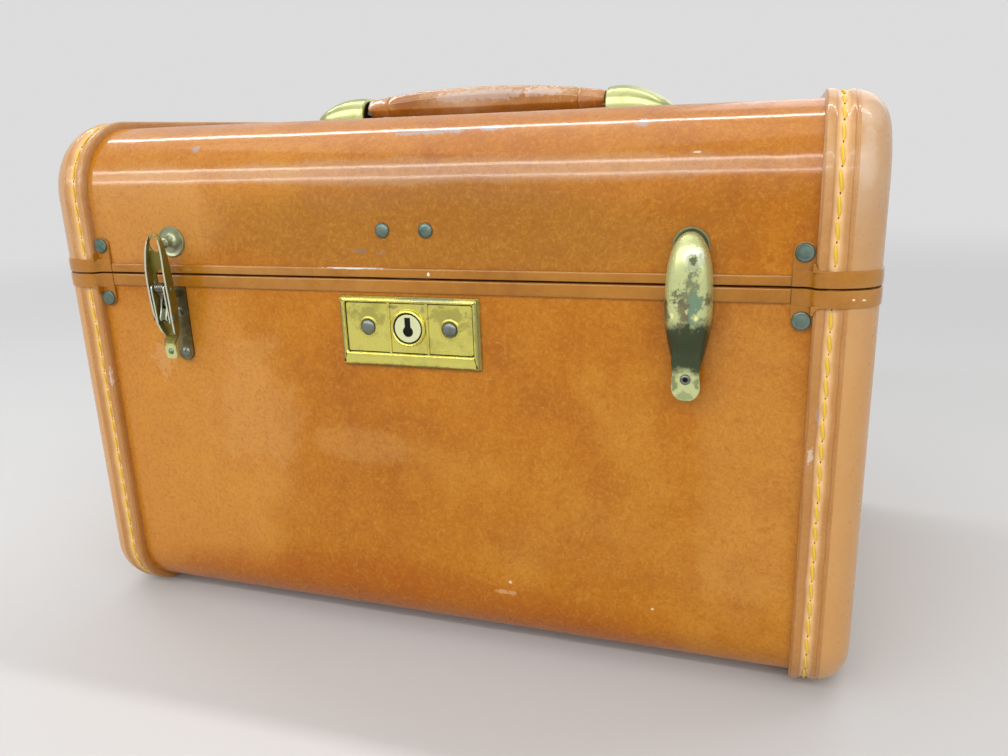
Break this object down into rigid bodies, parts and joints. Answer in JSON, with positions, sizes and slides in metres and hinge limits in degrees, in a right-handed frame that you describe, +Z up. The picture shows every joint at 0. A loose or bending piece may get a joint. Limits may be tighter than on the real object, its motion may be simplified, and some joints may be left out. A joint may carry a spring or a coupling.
{
  "type": "train case",
  "caption": "Small hard-sided vanity case with a hinged lid, top handle, draw-bolt latches, a key lock, moulded end caps and stitched bindings.",
  "frame": {"origin": "centre of the bounding box on the ground: the case stands on the two bindings", "axes": "+X along the case's width to the right as seen from the front, +Y from the front panel to the hinges, +Z up"},
  "size_m": [0.331, 0.2118, 0.2272],
  "materials": {
    "leatherette": "glossy mottled tan leatherette with a fine grain",
    "end_vinyl": "paler smooth tan moulded end covering",
    "binding": "worn tan stitched binding",
    "thread": "waxed yellow thread",
    "rim_trim": "brown lacquered metal strip, scuffed bright",
    "band": "dull lacquered brass strap",
    "brass": "worn polished brass",
    "aged_brass": "aged brass plate",
    "dark_steel": "oxidised plated steel",
    "plated_steel": "plated steel",
    "spring_wire": "dark spring wire",
    "frame_wood": "thin bent wood frame",
    "lining": "woven beige lining",
    "pocket_cloth": "gathered lining cloth",
    "mirror": "silvered glass",
    "grip": "glossy tan moulded grip"
  },
  "bodies": {
    "body": {"body_wrap": "leatherette", "left_body_end": "end_vinyl", "right_body_end": "end_vinyl", "left_body_binding": "binding", "right_body_binding": "binding", "body_stitches": "thread", "body_front_rim": "rim_trim", "body_back_rim": "rim_trim", "left_body_band": "band", "right_body_band": "band", "body_band_rivets": "dark_steel", "body_frame": "frame_wood", "body_lining": "lining", "body_pockets": "pocket_cloth", "lock_plate": "brass", "lock_plate_rivets": "dark_steel", "lock_case": "plated_steel", "left_latch_base": "aged_brass", "right_latch_base": "aged_brass", "latch_base_rivets": "dark_steel", "latch_base_pins": "dark_steel", "body_hinge_leaves": "aged_brass", "hinge_pins": "dark_steel", "body_hinge_rivets": "dark_steel"},
    "lid": {"lid_wrap": "leatherette", "left_lid_end": "end_vinyl", "right_lid_end": "end_vinyl", "left_lid_binding": "binding", "right_lid_binding": "binding", "lid_stitches": "thread", "lid_front_rim": "rim_trim", "lid_back_rim": "rim_trim", "left_lid_band": "band", "right_lid_band": "band", "lid_band_rivets": "dark_steel", "keepers": "dark_steel", "lock_hasp": "plated_steel", "hasp_rivets": "dark_steel", "lid_lining": "lining", "lid_mirror": "mirror", "mirror_frame": "pocket_cloth", "left_handle_cap": "brass", "right_handle_cap": "brass", "lid_hinge_leaves": "aged_brass", "lid_hinge_rivets": "dark_steel"},
    "handle": {"handle_grip": "grip", "handle_ferrules": "grip", "handle_strap": "plated_steel"},
    "left_link": {"left_latch_link": "dark_steel"},
    "left_lever": {"left_latch_lever": "aged_brass", "left_latch_pins": "dark_steel", "left_latch_spring": "spring_wire"},
    "right_link": {"right_latch_link": "dark_steel"},
    "right_lever": {"right_latch_lever": "aged_brass", "right_latch_pins": "dark_steel", "right_latch_spring": "spring_wire", "right_latch_cover": "brass"},
    "cylinder": {"lock_cylinder": "brass"}
  },
  "joints": [
    {"name": "lid_hinge", "type": "hinge", "parent": "body", "child": "lid", "pos_m": [0, 0.10329, 0.1552], "axis": [-1, 0, 0], "range_deg": [0, 100]},
    {"name": "handle_lift", "type": "slide", "parent": "lid", "child": "handle", "axis": [0, 0, 1], "range_m": [0, 0.004]},
    {"name": "left_link_hinge", "type": "hinge", "parent": "body", "child": "left_link", "pos_m": [-0.105, -0.10067, 0.14721], "axis": [1, 0, 0], "range_deg": [0, 25]},
    {"name": "left_lever_hinge", "type": "hinge", "parent": "left_link", "child": "left_lever", "pos_m": [-0.105, -0.1033, 0.13861], "axis": [1, 0, 0], "range_deg": [-29.01, 0]},
    {"name": "right_link_hinge", "type": "hinge", "parent": "body", "child": "right_link", "pos_m": [0.105, -0.10067, 0.14721], "axis": [-1, 0, 0], "range_deg": [0, 25]},
    {"name": "right_lever_hinge", "type": "hinge", "parent": "right_link", "child": "right_lever", "pos_m": [0.105, -0.09941, 0.1383], "axis": [-1, 0, 0], "range_deg": [-29.01, 0]},
    {"name": "lock_turn", "type": "hinge", "parent": "body", "child": "cylinder", "pos_m": [0, -0.09321, 0.1364], "axis": [0, -1, 0], "range_deg": [0, 90]}
  ],
  "couplings": [
    {"joint": "left_lever_hinge", "follows": "left_link_hinge", "ratio": -1.16},
    {"joint": "right_lever_hinge", "follows": "right_link_hinge", "ratio": -1.16}
  ]
}
